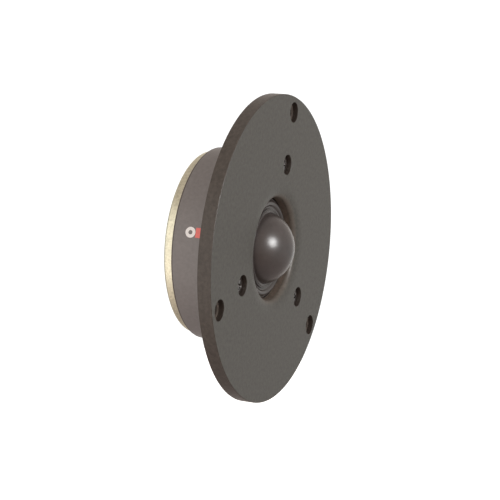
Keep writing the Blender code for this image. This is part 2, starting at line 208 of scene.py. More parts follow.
def plate(outline, z_low, z_high):
    """A flat plate whose outline is (x, y) points, from z_low to z_high, as a bmesh."""
    bm = bmesh.new()
    low, high = [[bm.verts.new((x, y, z)) for x, y in outline] for z in (z_low, z_high)]
    bm.faces.new(low)
    bm.faces.new(high)
    for k in range(len(outline)):
        bm.faces.new((low[k - 1], low[k], high[k], high[k - 1]))
    return bm


def grid_block(columns, rows):
    """A block from z 0 to z 1 over the square from -1 to 1, its faces divided into a grid, as a bmesh."""
    bm = bmesh.new()
    points = {(i, j, k): bm.verts.new((2 * i / columns - 1, 2 * j / rows - 1, k))
              for i in range(columns + 1) for j in range(rows + 1) for k in (0, 1)}
    quads = [((i, j, k), (i + 1, j, k), (i + 1, j + 1, k), (i, j + 1, k))
             for i in range(columns) for j in range(rows) for k in (0, 1)]
    quads += [((i, j, 0), (i + 1, j, 0), (i + 1, j, 1), (i, j, 1)) for i in range(columns) for j in (0, rows)]
    quads += [((i, j, 0), (i, j + 1, 0), (i, j + 1, 1), (i, j, 1)) for i in (0, columns) for j in range(rows)]
    for quad in quads:
        bm.faces.new([points[corner] for corner in quad])
    return bm


def box_piece(name, low, high, bevel=0.0):
    low, high = Vector(low), Vector(high)
    bm = bmesh.new()
    bmesh.ops.create_cube(bm, size=1)
    place = Matrix.Translation((low + high) / 2) @ Matrix.Diagonal((*(high - low), 1))
    bmesh.ops.transform(bm, matrix=place, verts=bm.verts)
    if bevel:
        bmesh.ops.bevel(bm, geom=bm.edges[:], offset=bevel, segments=3, profile=0.5, affect="EDGES")
    return new_object(name, bm)


def moved(obj, x=0.0, y=0.0, z=0.0):
    obj.data.transform(Matrix.Translation((x, y, z)))
    return obj


def cut(obj, cutters):
    """Cuts every cutter out of the object's own mesh and deletes the cutters."""
    for cutter in cutters:
        boolean = obj.modifiers.new(cutter.name, "BOOLEAN")
        boolean.operation = "DIFFERENCE"
        boolean.object = cutter
    bpy.context.view_layer.update()
    graph = bpy.context.evaluated_depsgraph_get()
    mesh = bpy.data.meshes.new_from_object(obj.evaluated_get(graph), depsgraph=graph)
    obj.modifiers.clear()
    obj.data = mesh
    for cutter in cutters:
        bpy.data.objects.remove(cutter, do_unlink=True)


def rounded(obj, width, segments):
    """Rounds the edges of a piece that has been cut."""
    edge = obj.modifiers.new("rounded_edges", "BEVEL")
    edge.width, edge.segments, edge.limit_method = width, segments, "ANGLE"
    edge.angle_limit = math.radians(BEVEL_ANGLE)


def weighted(obj):
    """Flat faces keep flat shading beside their rounded edges."""
    shade(obj.data, SHARP_ANGLE)
    weights = obj.modifiers.new("weighted_normals", "WEIGHTED_NORMAL")
    weights.keep_sharp = True
    return obj


def finish_piece(obj, finish, body=FRAME_BODY, replaces=()):
    """Gives the piece its finish in its one slot, its body, and the CAD nodes it replaces, which it hides."""
    obj.data.materials.clear()
    obj.data.materials.append(FINISHES[finish])
    if body:
        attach(obj, body)
    if replaces:
        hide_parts(*replaces)


# ---------------------------------------------------------------- materials

class Nodes:
    """Short ways to add nodes to a tree."""

    def __init__(self, tree):
        self.tree = tree

    def link(self, source, target):
        self.tree.links.new(source, target)

    def node(self, kind, **inputs):
        """A new node of this kind, with these of its inputs set."""
        made = self.tree.nodes.new(f"ShaderNode{kind}")
        for socket, value in inputs.items():
            made.inputs[socket.replace("_", " ")].default_value = value
        return made

    def axes(self, places):
        """The outputs X, Y and Z of a socket that holds places."""
        split = self.node("SeparateXYZ")
        self.link(places, split.inputs["Vector"])
        return split.outputs

    def ramp(self, factor, stops):
        """A colour that follows the factor through the stops, which are (position, (r, g, b))."""
        made = self.node("ValToRGB")
        elements = made.color_ramp.elements
        while len(elements) < len(stops):
            elements.new(0.5)
        for element, (position, colour) in zip(elements, stops):
            element.position, element.color = position, (*colour, 1)
        self.link(factor, made.inputs["Fac"])
        return made.outputs["Color"]

    def product(self, first, second):
        """The first colour times the second."""
        made = self.node("MixRGB", Fac=1)
        made.blend_type = "MULTIPLY"
        self.link(first, made.inputs["Color1"])
        self.link(second, made.inputs["Color2"])
        return made.outputs["Color"]


class Finish(Nodes):
    """A procedural material. The shader's inputs are set by name, in small letters."""

    def __init__(self, name, **values):
        self.material = bpy.data.materials.new(f"{name}_finish")
        self.material.use_nodes = True
        super().__init__(self.material.node_tree)
        self.shader = self.tree.nodes["Principled BSDF"]
        self.places = self.node("TexCoord").outputs["Object"]
        for socket, value in values.items():
            self.shader.inputs[socket.replace("_", " ").title().replace("Ior", "IOR")].default_value = value

    def noise(self, scale, detail=3.0, roughness=0.5):
        """Noise whose scale is in features per metre."""
        made = self.node("TexNoise", Scale=scale, Detail=detail, Roughness=roughness)
        self.link(self.places, made.inputs["Vector"])
        return made.outputs["Fac"]

    def drift(self, factor, base, spread, low=0.3, high=0.7):
        """A colour that goes from a share darker than the base to a share lighter as the factor rises."""
        dark = tuple(c * (1 - spread) for c in base)
        light = tuple(min(1.0, c * (1 + spread)) for c in base)
        self.link(self.ramp(factor, [(low, dark), (high, light)]), self.shader.inputs["Base Color"])

    def take_painted_shading(self):
        """Multiplies the colour by the painted shading that the mesh holds for each face: painted light lightens
        a face, painted shade darkens it.
        """
        painted_shading = self.node("Attribute")
        painted_shading.attribute_name = "painted_shading"
        base = self.shader.inputs["Base Color"]
        self.link(self.product(base.links[0].from_socket, painted_shading.outputs["Vector"]), base)

    def rough(self, factor, low, high):
        """Roughness that goes from low to high as the factor rises."""
        made = self.node("MapRange", From_Min=0.3, From_Max=0.7, To_Min=low, To_Max=high)
        self.link(factor, made.inputs["Value"])
        self.link(made.outputs["Result"], self.shader.inputs["Roughness"])

    def bump(self, height, distance):
        """A bump of this many metres, on top of any bump added before."""
        made = self.node("Bump", Distance=distance, Strength=1.0)
        self.link(height, made.inputs["Height"])
        last = self.shader.inputs["Normal"]
        if last.is_linked:
            self.link(last.links[0].from_socket, made.inputs["Normal"])
        self.link(made.outputs["Normal"], last)

    def maths(self, operation, first, second=0):
        """The result of a Math node on two sockets or numbers."""
        made = self.node("Math")
        made.operation = operation
        for socket, value in zip(made.inputs, (first, second)):
            if isinstance(value, (int, float)):
                socket.default_value = value
            else:
                self.link(value, socket)
        return made.outputs["Value"]

    def wave(self, distance, pitch):
        """A sine wave with this pitch along a distance, both in metres."""
        return self.maths("SINE", self.maths("MULTIPLY", distance, math.tau / pitch))


def speckled(name, base, spread, roughness, grain, depth, patch=60, **values):
    """A moulded or cast surface: colour that drifts a little in patches, and a fine grain."""
    finish = Finish(name, roughness=roughness, **values)
    finish.drift(finish.noise(patch, detail=4), base, spread)
    finish.rough(finish.noise(patch * 5), roughness - 0.05, roughness + 0.05)
    finish.bump(finish.noise(grain, detail=2), depth)
    return finish


def turned_metal(name, base, spread, roughness, patch, ring_pitch, ring_depth, mottle=0.0):
    """Metal with faint concentric lathe lines about the driver's axis, and mottled plating."""
    finish = Finish(name, roughness=roughness, metallic=1.0)
    finish.drift(finish.noise(patch, detail=5, roughness=0.6), base, spread, 0.32, 0.68)
    finish.rough(finish.noise(patch * 3, detail=4), roughness - 0.08, roughness + 0.1)
    place = finish.axes(finish.places)
    squares = [finish.maths("MULTIPLY", place[axis], place[axis]) for axis in ("X", "Z")]
    outwards = finish.maths("SQRT", finish.maths("ADD", *squares))
    finish.bump(finish.wave(outwards, ring_pitch), ring_depth)
    if mottle:
        finish.bump(finish.noise(patch * 6, detail=3), mottle)
    return finish


WEAVE_PITCH = 0.35 * MM


def fabric(name, base, roughness, depth, **values):
    """Coated woven fabric: threads crossing at right angles across the driver's axis, under a satin coating."""
    finish = Finish(name, roughness=roughness, coat_weight=1.0, **values)
    finish.drift(finish.noise(250, detail=4), base, 0.15)
    finish.rough(finish.noise(900), roughness - 0.04, roughness + 0.06)
    place = finish.axes(finish.places)
    threads = [finish.wave(place[axis], WEAVE_PITCH) for axis in ("X", "Z")]
    finish.bump(finish.maths("MULTIPLY", *threads), depth)
    finish.bump(finish.noise(1500, detail=2), depth)
    return finish


# Colour, its spread, roughness, grains per metre, grain depth, and the rest by name
SPECKLED = {
    "faceplate_plastic": ((0.078, 0.077, 0.069), 0.2, 0.45, 2500, 0.03 * MM,
                          {"patch": 800, "specular_ior_level": 0.35}),
    "sleeve_plastic": ((0.215, 0.204, 0.201), 0.07, 0.45, 1800, 0.012 * MM, {"patch": 800}),
    "terminal_plastic": ((0.03, 0.03, 0.03), 0.1, 0.5, 3000, 0.01 * MM, {}),
    "ring_plastic": ((0.04, 0.04, 0.04), 0.1, 0.55, 3000, 0.01 * MM, {}),
    "gasket_foam": ((0.15, 0.13, 0.12), 0.2, 0.9, 4000, 0.04 * MM, {"patch": 900}),
    "ferrite": ((0.07, 0.07, 0.075), 0.15, 0.7, 2200, 0.03 * MM, {"patch": 300}),
    "felt": ((0.05, 0.05, 0.055), 0.35, 0.95, 3500, 0.12 * MM, {"patch": 1200}),
    "print_red": ((0.88, 0.2, 0.18), 0.06, 0.5, 3000, 0.005 * MM, {"patch": 300}),
    "print_white": ((0.95, 0.95, 0.94), 0.03, 0.5, 3000, 0.005 * MM, {"patch": 300}),
    "dark_screw_steel": ((0.03, 0.025, 0.023), 0.2, 0.3, 5000, 0.004 * MM,
                         {"patch": 900, "coat_weight": 1.0, "coat_roughness": 0.12, "coat_ior": 1.9}),
    "tinned_brass": ((0.78, 0.76, 0.7), 0.08, 0.32, 3500, 0.006 * MM, {"patch": 700, "metallic": 1.0}),
}
# Colour, its spread, roughness, patches per metre, pitch and depth of the lathe lines, and the rest by name
TURNED = {
    "yellow_zinc_steel": ((0.7, 0.68, 0.53), 0.16, 0.38, 1100, 0.5 * MM, 0.003 * MM, {"mottle": 0.008 * MM}),
    "bare_steel": ((0.52, 0.51, 0.5), 0.1, 0.35, 300, 0.35 * MM, 0.006 * MM, {}),
    "former_aluminium": ((0.75, 0.75, 0.77), 0.06, 0.35, 500, 0.2 * MM, 0.002 * MM, {}),
    "coil_copper": ((0.72, 0.33, 0.15), 0.1, 0.3, 800, 0.2 * MM, 0.002 * MM, {}),
    "pin_brass": ((0.8, 0.62, 0.3), 0.08, 0.3, 900, 0.2 * MM, 0.003 * MM, {}),
}
# Colour, roughness, depth of the weave, and the rest by name
WOVEN = {
    "dome_fabric": ((0.045, 0.036, 0.034), 0.7, 0.012 * MM,
                    {"coat_roughness": 0.25, "coat_ior": 1.6, "specular_ior_level": 0.2}),
    "surround_fabric": ((0.036, 0.03, 0.028), 0.6, 0.002 * MM,
                        {"coat_roughness": 0.14, "specular_ior_level": 0.3}),
}
# The finishes whose colour is multiplied by the painted light and shade stored on their faces
PAINTED_SHADING_FINISHES = ("faceplate_plastic", "sleeve_plastic")


def make_finishes():
    made = {}
    for kind, table in ((speckled, SPECKLED), (turned_metal, TURNED), (fabric, WOVEN)):
        for name, (*values, named) in table.items():
            made[name] = kind(name, *values, **named)
    for name in PAINTED_SHADING_FINISHES:
        # Painted light and shade on these finishes' faces
        made[name].take_painted_shading()
    return {name: finish.material for name, finish in made.items()}


FINISHES = make_finishes()


# ---------------------------------------------------------------- faceplate

HOLE_ANGLES = (90, 210, 330)
PANEL_HOLE_CIRCLE = FLANGE_RADIUS - 5.6 * MM
MOTOR_SCREW_CIRCLE = math.hypot(MOTOR_SCREWS[0].x, MOTOR_SCREWS[0].z)
COUNTERBORE_RADIUS = HEAD_RADIUS + 0.4 * MM
COUNTERBORE_MOUTH = 0.15 * MM
CLEARANCE_RADIUS = 2.2 * MM
PANEL_HOLE_FLOOR = FACE_Y + 2 * MM
SCREW_SEAT = FACE_Y + 3 * MM
POCKET_FLOOR = -0.8 * MM
POCKET_RADIUS = radii("diaphragm_ring")[-1] + 0.3 * MM
WALL_FOOT = -0.26 * MM
WALL_OUTSIDE = THROAT_RADIUS + 0.4 * MM
SEAT_INNER = 45.3 * MM
SEAT_STEP = 0.6 * MM
LIP_ROUND = 1.77 * MM
LIP_TURN = 67.0
FLARE_RADIUS = 24.5 * MM
FLARE_DEPTH = 0.71 * MM
NOTCH_HALF_WIDTH = 7.5 * MM

PLAIN = (1, 1, 1)
# Painted light on the mounting holes' counterbore floors, and painted shade on every hole's walls
HOLE_FLOOR_PAINTED_LIGHT = (1.3, 1.08, 1.02)
HOLE_WALL_PAINTED_SHADE = (0.6, 0.48, 0.44)
# Painted shade on the flange's rim: darker and browner, in place of the dim warm light it gets
RIM_PAINTED_SHADE = (0.86, 0.75, 0.72)
THROAT_PAINTED_LIGHT = (1, 0.65, 0.5)   # painted light that the throat's wall gains, times one of the next two
LIP_LIGHT_GAIN = 0.6
CYLINDER_LIGHT_GAIN = 1.15
# Painted shade: a dark band this wide at the sleeve's rear edge, for the shadow line against the back plate
REAR_SHADE_BAND = 0.6 * MM
REAR_PAINTED_SHADE = (0.35, 0.3, 0.28)


def on_circle(radius, degrees):
    return radius * math.cos(math.radians(degrees)), radius * math.sin(math.radians(degrees))


HOLE_CENTRES = [on_circle(circle, degrees) for circle in (PANEL_HOLE_CIRCLE, MOTOR_SCREW_CIRCLE)
                for degrees in HOLE_ANGLES]


def hole_cutter(name, floor, x, z):
    """A counterbore with a rounded mouth and a clearance hole through its floor."""
    outside, inside = FACE_Y - OVERCUT, BOSS_REAR + OVERCUT
    mouth = COUNTERBORE_RADIUS + COUNTERBORE_MOUTH
    edge = arc((mouth, FACE_Y + COUNTERBORE_MOUTH), COUNTERBORE_MOUTH, 262, 180, 5)
    profile = [(0, outside), (mouth, outside), *edge, (COUNTERBORE_RADIUS, floor), (CLEARANCE_RADIUS, floor),
               (CLEARANCE_RADIUS, inside), (0, inside)]
    return moved(turned(name, profile, SMALL_STEPS), x=x, z=z)


def throat_lip():
    """The mouth of the throat: an arc up from its wall, then a flare that runs out into the face."""
    middle_y = FACE_Y + FLARE_DEPTH + LIP_ROUND * math.sin(math.radians(LIP_TURN))
    lip = arc((THROAT_RADIUS + LIP_ROUND, middle_y), LIP_ROUND, 180, 180 + LIP_TURN, 14)
    lip_end = lip[-1][0]
    flare = [(lip_end + share * (FLARE_RADIUS - lip_end), FACE_Y + FLARE_DEPTH * (1 - share) ** 3)
             for share in np.linspace(0, 1, 15)[1:]]
    return lip + flare


def make_faceplate():
    corners = [(FLANGE_RADIUS, FACE_Y, 0.3 * MM), (FLANGE_RADIUS, 0, 0.3 * MM),
               (SEAT_INNER, 0, 0.2 * MM), (SEAT_INNER, -SEAT_STEP, 0.2 * MM), (MOTOR_RADIUS, -SEAT_STEP, 0),
               (MOTOR_RADIUS, BOSS_REAR, 0.25 * MM), (POCKET_RADIUS, BOSS_REAR, 0.25 * MM),
               (POCKET_RADIUS, POCKET_FLOOR, 0), (WALL_OUTSIDE, POCKET_FLOOR, 0),
               (WALL_OUTSIDE, WALL_FOOT, 0), (THROAT_RADIUS, WALL_FOOT, 0)]
    moulding = turned("faceplate_moulding", throat_lip() + filleted(corners, 6))
    cutters = []
    for number, degrees in enumerate(HOLE_ANGLES, 1):
        panel_place, motor_place = on_circle(PANEL_HOLE_CIRCLE, degrees), on_circle(MOTOR_SCREW_CIRCLE, degrees)
        cutters.append(hole_cutter(f"panel_hole_{number}", PANEL_HOLE_FLOOR, *panel_place))
        cutters.append(hole_cutter(f"motor_hole_{number}", SCREW_SEAT, *motor_place))
    notch_low = (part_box("terminal_positive")[0].x - 3 * MM, 0.5 * MM, -NOTCH_HALF_WIDTH)
    notch_high = (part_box("terminal_block")[0].x - 1 * MM, BOSS_REAR + OVERCUT, NOTCH_HALF_WIDTH)
    cutters.append(box_piece("terminal_notch", notch_low, notch_high))
    cut(moulding, cutters)
    # Painted shade on the hole walls and rim, painted light on the counterbore floors and throat wall
    paint_shading_on_faces(moulding, faceplate_painted_shading)
    finish_piece(weighted(moulding), "faceplate_plastic", replaces=["faceplate"])


def paint_shading_on_faces(obj, rule):
    """Gives each face the painted shading that the rule returns for its middle, for a finish that takes painted
    shading.
    """
    painted_shading_values = obj.data.attributes.new("painted_shading", "FLOAT_VECTOR", "FACE")
    for face, painted_shading in zip(obj.data.polygons, painted_shading_values.data):
        painted_shading.vector = rule(face.center)


def faceplate_painted_shading(middle):
    """Painted shading on the faceplate: painted shade darkens the holes' walls and the flange's rim, and painted
    light lightens the floors of the mounting holes' counterbores and the throat's wall."""
    outwards = math.hypot(middle.x, middle.z)
    from_hole = min(math.hypot(middle.x - x, middle.z - z) for x, z in HOLE_CENTRES)
    # Painted light on the counterbore floors, painted shade on the hole walls
    if from_hole < COUNTERBORE_RADIUS + 2 * HAIR and FACE_Y + 10 * HAIR < middle.y < -2 * HAIR:
        return HOLE_FLOOR_PAINTED_LIGHT if abs(middle.y - PANEL_HOLE_FLOOR) < HAIR else HOLE_WALL_PAINTED_SHADE
    # Painted shade on the flange's rim
    if outwards > FLANGE_RADIUS - 15 * HAIR:
        return RIM_PAINTED_SHADE
    # Painted light on the throat's lip and wall, which lie in shade
    down_lip = 1 - (outwards - THROAT_RADIUS) / LIP_ROUND
    if down_lip > 0 and middle.y < WALL_FOOT - HAIR:
        light_gain = down_lip * (LIP_LIGHT_GAIN if down_lip < 1 - 1e-4 else CYLINDER_LIGHT_GAIN)
        return tuple(1 + light_gain * share for share in THROAT_PAINTED_LIGHT)
    return PLAIN


def sleeve_painted_shade(middle):
    """Painted shade: a dark band at the sleeve's rear edge stands in for the shadow line against the back plate.
    """
    return REAR_PAINTED_SHADE if middle.y > SLEEVE_REAR - REAR_SHADE_BAND else PLAIN


# ---------------------------------------------------------------- diaphragm

DOME_EDGE = 12.9 * MM
DOME_EDGE_Y = rear("dome") - 0.3 * MM
DOME_WALL = 0.3 * MM
SURROUND_WALL = 0.2 * MM
SURROUND_RIM = radii("surround")[-1]
SURROUND_FLAT_Y = -0.2 * MM
RIB_CENTRE = (13.65 * MM, DOME_EDGE_Y + 0.02 * MM)
RIB_RADIUS = 0.3 * MM
GROOVE_FLOOR = (14.65 * MM, DOME_EDGE_Y + 0.75 * MM)
ROLL_START = (15.1 * MM, DOME_EDGE_Y + 0.5 * MM)
ROLL_END = (17.25 * MM, SURROUND_FLAT_Y)
ROLL_BULGE = 1.05 * MM
BEAD_CENTRE = (ROLL_END[0] + 0.45 * MM, SURROUND_FLAT_Y + 0.05 * MM)
BEAD_RADIUS = 0.25 * MM


def cap(edge_radius, edge_y, tip_y, count):
    """A spherical cap's profile from its edge to its tip."""
    height = edge_y - tip_y
    sphere = (edge_radius**2 + height**2) / (2 * height)
    start = math.degrees(math.atan2(height - sphere, edge_radius))
    points = arc((0, tip_y + sphere), sphere, start, -90, count)
    points[-1] = (0, tip_y)
    return points


def make_dome():
    outer = cap(DOME_EDGE, DOME_EDGE_Y, DOME_TIP, 40)
    inner = cap(DOME_EDGE - DOME_WALL, DOME_EDGE_Y + DOME_WALL, DOME_TIP + DOME_WALL, 24)
    collar = [(DOME_COLLAR, DOME_EDGE_Y + DOME_WALL), (DOME_COLLAR, DOME_EDGE_Y)]
    dome = turned("dome_fabric", collar + outer + inner[::-1])
    finish_piece(dome, "dome_fabric", body=DIAPHRAGM_BODY, replaces=["dome"])


def surround_outline():
    """From the dome outwards: a rib glued to the dome's collar, a land that clears the collar, a groove, the
    half roll, a bead and a flat rim, then the back."""
    rib = arc(RIB_CENTRE, RIB_RADIUS, 190, 350, 9)
    land = [(DOME_COLLAR + 0.15 * MM, rib[-1][1]), (GROOVE_FLOOR[0] - 0.2 * MM, GROOVE_FLOOR[1] - 0.05 * MM)]
    roll = bulging(ROLL_START, ROLL_END, ROLL_BULGE, 22)
    bead = arc(BEAD_CENTRE, BEAD_RADIUS, 200, 340, 7)
    face = [*rib, *land, GROOVE_FLOOR, *roll, *bead, (SURROUND_RIM, SURROUND_FLAT_Y)]
    back = [(SURROUND_RIM, SURROUND_FLAT_Y), (ROLL_END[0], SURROUND_FLAT_Y), *roll[-2:0:-1],
            GROOVE_FLOOR, (GROOVE_FLOOR[0] - 0.3 * MM, GROOVE_FLOOR[1])]
    under_collar = [(DOME_COLLAR + 0.05 * MM, DOME_EDGE_Y + 0.25 * MM),
                    (DOME_COLLAR + 0.05 * MM, DOME_EDGE_Y - 0.01 * MM), (rib[0][0], DOME_EDGE_Y - 0.01 * MM)]
    return face + [(radius, y + SURROUND_WALL) for radius, y in back] + under_collar


def make_surround():
    surround = turned("surround_roll", surround_outline(), sharp=60)
    finish_piece(surround, "surround_fabric", body=None)
    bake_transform(surround)
    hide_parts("surround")


# ---------------------------------------------------------------- screws

HEAD_CROWN = 9.2 * MM
SHANK_RADIUS = 1.9 * MM
BOX_SIDES = ((0, 1, 2, 3), (7, 6, 5, 4), (0, 4, 5, 1), (1, 5, 6, 2), (2, 6, 7, 3), (3, 7, 4, 0))


def cross_cutters(name, top, reach, half_width, depth, spin):
    """The two wings of a Phillips recess, on the driver's axis: each narrows towards the bottom."""
    wings = []
    mouth, bottom = (top - OVERCUT, reach * 1.3, half_width), (top + depth, reach * 0.4, half_width * 0.6)
    for turn in (spin, spin + 90):
        bm = bmesh.new()
        corners = [bm.verts.new((sx * long, y, sz * width)) for y, long, width in (mouth, bottom)
                   for sx, sz in ((-1, -1), (1, -1), (1, 1), (-1, 1))]
        for side in BOX_SIDES:
            bm.faces.new([corners[i] for i in side])
        bmesh.ops.transform(bm, matrix=Matrix.Rotation(math.radians(turn), 4, "Y"), verts=corners)
        wings.append(new_object(f"{name}_{turn}", bm))
    return wings


def make_motor_screws():
    for number, place in enumerate(MOTOR_SCREWS, 1):
        node = f"faceplate_screw_{number}"
        top, tip, seat = front(node), rear(node), SCREW_SEAT - 0.1 * MM
        profile = arc((0, top + HEAD_CROWN), HEAD_CROWN, -90, -70, 8)
        profile += [(HEAD_RADIUS - 0.12 * MM, top + 0.7 * MM), (HEAD_RADIUS, top + 1 * MM),
                    (HEAD_RADIUS, seat - 0.15 * MM), (HEAD_RADIUS - 0.15 * MM, seat), (SHANK_RADIUS, seat),
                    (SHANK_RADIUS, tip - 0.5 * MM), (SHANK_RADIUS - 0.5 * MM, tip), (0, tip)]
        screw = moved(turned(f"motor_screw_{number}", profile, SMALL_STEPS), x=place.x, z=place.z)
        wings = cross_cutters(f"recess_{number}", top, 1.9 * MM, 0.42 * MM, 1.3 * MM, 25 + 40 * number)
        cut(screw, [moved(wing, x=place.x, z=place.z) for wing in wings])
        rounded(screw, 0.16 * MM, 3)
        finish_piece(weighted(screw), "dark_screw_steel", replaces=[node])


# ---------------------------------------------------------------- motor

def make_sleeve():
    inner, top = radii("magnet_sleeve")[0], front("magnet_sleeve")
    corners = [(inner, top, 0), (SLEEVE_RADIUS, top, 0), (SLEEVE_RADIUS, SLEEVE_REAR - REAR_SHADE_BAND, 0),
               (SLEEVE_RADIUS, SLEEVE_REAR, 0.4 * MM), (inner, SLEEVE_REAR, 0.15 * MM)]
    sleeve = turned("sleeve_shell", filleted(corners, 6))
    notch_low = (SLEEVE_RADIUS - 6 * MM, top - OVERCUT, -NOTCH_HALF_WIDTH)
    notch_high = (SLEEVE_RADIUS + 4 * MM, 2.4 * MM, NOTCH_HALF_WIDTH)
    cut(sleeve, [box_piece("sleeve_notch", notch_low, notch_high)])
    # Painted shade on the band at the sleeve's rear edge
    paint_shading_on_faces(sleeve, sleeve_painted_shade)
    finish_piece(weighted(sleeve), "sleeve_plastic", replaces=["magnet_sleeve"])


def make_back_plate():
    inner, top = radii("back_plate")[0], front("back_plate")
    corners = [(inner, top, 0), (MOTOR_RADIUS, top, 0.3 * MM), (MOTOR_RADIUS, MOTOR_REAR, 1.1 * MM),
               (inner, MOTOR_REAR, 0.15 * MM)]
    disc = turned("back_plate_disc", filleted(corners, 8))
    finish_piece(weighted(disc), "yellow_zinc_steel", replaces=["back_plate"])


def make_pole_piece():
    """A damping chamber in front, and a rear end staked into the back plate with a turning centre."""
    face, end = front("pole_piece"), rear("pole_piece")
    pole, chamber, spigot = radii("pole_piece")[-1], 7.0 * MM, 7.9 * MM
    chamber_floor = rear("chamber_felt") + 0.1 * MM
    shoulder = front("back_plate") - 0.1 * MM
    stake = end - 0.35 * MM
    corners = [(0, chamber_floor, 0), (chamber, chamber_floor, 0.3 * MM), (chamber, face, 0.3 * MM),
               (pole, face, 0.3 * MM), (pole, shoulder, 0.2 * MM), (spigot, shoulder, 0),
               (spigot, end, 0.5 * MM), (6.2 * MM, end, 0.2 * MM), (5.8 * MM, stake, 0.2 * MM),
               (5.2 * MM, stake, 0.2 * MM), (4.8 * MM, end, 0.2 * MM),
               (1.4 * MM, end, 0.1 * MM), (0, end - 1.2 * MM, 0)]
    piece = turned("pole_steel", filleted(corners), 96)
    finish_piece(weighted(piece), "bare_steel", replaces=["pole_piece"])


PRINT_TOP = 0.06 * MM
PRINT_FOOT = 0.01 * MM


def on_sleeve(name, bm, finish, replaces=()):
    """Wraps a flat print on the sleeve's -X side. Its x runs along the driver's axis, its y upwards, and its
    points with z over 0 are its outer face."""
    middle = centre("sleeve_mark")
    for vert in bm.verts:
        radius = SLEEVE_RADIUS + (PRINT_TOP if vert.co.z > 0 else PRINT_FOOT)
        angle = math.pi - (vert.co.y + middle.z) / SLEEVE_RADIUS
        vert.co = (radius * math.cos(angle), middle.y + vert.co.x, radius * math.sin(angle))
    finish_piece(new_object(name, bm), finish, replaces=replaces)


def make_mark():
    """A generic print: a white ring beside a red block."""
    low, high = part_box("sleeve_mark")
    half_length, half_height = (high.y - low.y) / 2, (high.z - low.z) / 2
    outer = half_height * 0.95
    ring = spun([(outer * 0.4, 0), (outer, 0), (outer, 1), (outer * 0.4, 1)], SMALL_STEPS)
    for vert in ring.verts:
        vert.co = (vert.co.x + half_length - half_height, vert.co.z, vert.co.y)
    on_sleeve("mark_ring", ring, "print_white", ["sleeve_mark"])
    block = grid_block(6, 8)
    for vert in block.verts:
        vert.co.x = vert.co.x * 1.5 * MM - half_length + 1.6 * MM
        vert.co.y *= outer * 0.92
    on_sleeve("mark_block", block, "print_red")


# ---------------------------------------------------------------- terminals and leads

SLOT_GAP = 0.3 * MM
TAB_BEND = 0.6 * MM
TAB_TIP = 1.0 * MM
TAB_EYE = 3.2 * MM   # from the free end to the eye's middle
STRAND_RADIUS = 0.12 * MM
STRAND_SIDES = 8
TWIST_RADIUS = 0.11 * MM
TWISTS = 12
LEAD_STEPS = 160
SLACK = 0.35 * MM
SLACK_SHARE = 0.25


def upright(name):
    """(x, half thickness) of a tab's upright, which is the outer end of its bent strip."""
    end = rear(f"terminal_{name}") - 3 * MM
    across = [v.co.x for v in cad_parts[f"terminal_{name}"].data.vertices if v.co.y > end]
    return (min(across) + max(across)) / 2, (max(across) - min(across)) / 2


def make_terminal_block():
    low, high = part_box("terminal_block")
    body = box_piece("terminal_housing", low, high, bevel=0.5 * MM)
    cutters = []
    for name in ("positive", "negative"):
        tab_low, tab_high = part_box(f"terminal_{name}")
        x, thick = upright(name)
        half, inner, bottom, top = thick + SLOT_GAP, low.x - OVERCUT, tab_low.y - SLOT_GAP, high.y + OVERCUT
        step = tab_low.y + 2 * thick + SLOT_GAP
        slot = [(inner, bottom), (x + half, bottom), (x + half, top),
                (x - half, top), (x - half, step), (inner, step)]
        cutters.append(new_object(f"slot_{name}", plate(slot, tab_low.z - SLOT_GAP, tab_high.z + SLOT_GAP)))
    for number in (1, 2):
        place = centre(f"terminal_block_screw_{number}")
        profile = [(0, -2 * MM), (1.2 * MM, -2 * MM), (1.2 * MM, 9 * MM), (0, 9 * MM)]
        cutters.append(moved(turned(f"bore_{number}", profile, BORE_STEPS), x=place.x, z=place.z))
    cut(body, cutters)
    finish_piece(weighted(body), "terminal_plastic", replaces=["terminal_block"])


def make_tabs():
    for name in ("positive", "negative"):
        low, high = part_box(f"terminal_{name}")
        x, half = upright(name)
        shoulder, inside = high.y - TAB_TIP, low.y + 2 * half
        outline = filleted([
            (low.x, low.y, 0), (x + half, low.y, TAB_BEND + 2 * half), (x + half, shoulder, 0),
            (x + half * 0.3, high.y, 0), (x - half * 0.3, high.y, 0), (x - half, shoulder, 0),
            (x - half, inside, TAB_BEND), (low.x, inside, 0)], 6)
        bm = plate(outline, low.z, high.z)
        narrow_tip(bm, shoulder, 0.55 * MM)
        tab = new_object(f"tab_{name}", bm)
        eye = turned("eye", [(0, -3 * MM), (0.7 * MM, -3 * MM), (0.7 * MM, 3 * MM), (0, 3 * MM)], BORE_STEPS)
        eye.data.transform(Matrix.Rotation(math.pi / 2, 4, "Z"))
        cut(tab, [moved(eye, x=x, y=high.y - TAB_EYE, z=(low.z + high.z) / 2)])
        rounded(tab, 0.05 * MM, 2)
        finish_piece(weighted(tab), "tinned_brass", replaces=[f"terminal_{name}"])


def narrow_tip(bm, shoulder_y, step):
    """Slants the plate's two z sides inwards by this step between the shoulder and the free end."""
    for face in [face for face in bm.faces if len(face.verts) > 4]:
        bmesh.utils.face_split(face, *[vert for vert in face.verts if abs(vert.co.y - shoulder_y) < 1e-6])
    middle = sum(vert.co.z for vert in bm.verts) / len(bm.verts)
    for vert in bm.verts:
        if vert.co.y > shoulder_y + 1e-6:
            vert.co.z -= math.copysign(step, vert.co.z - middle)


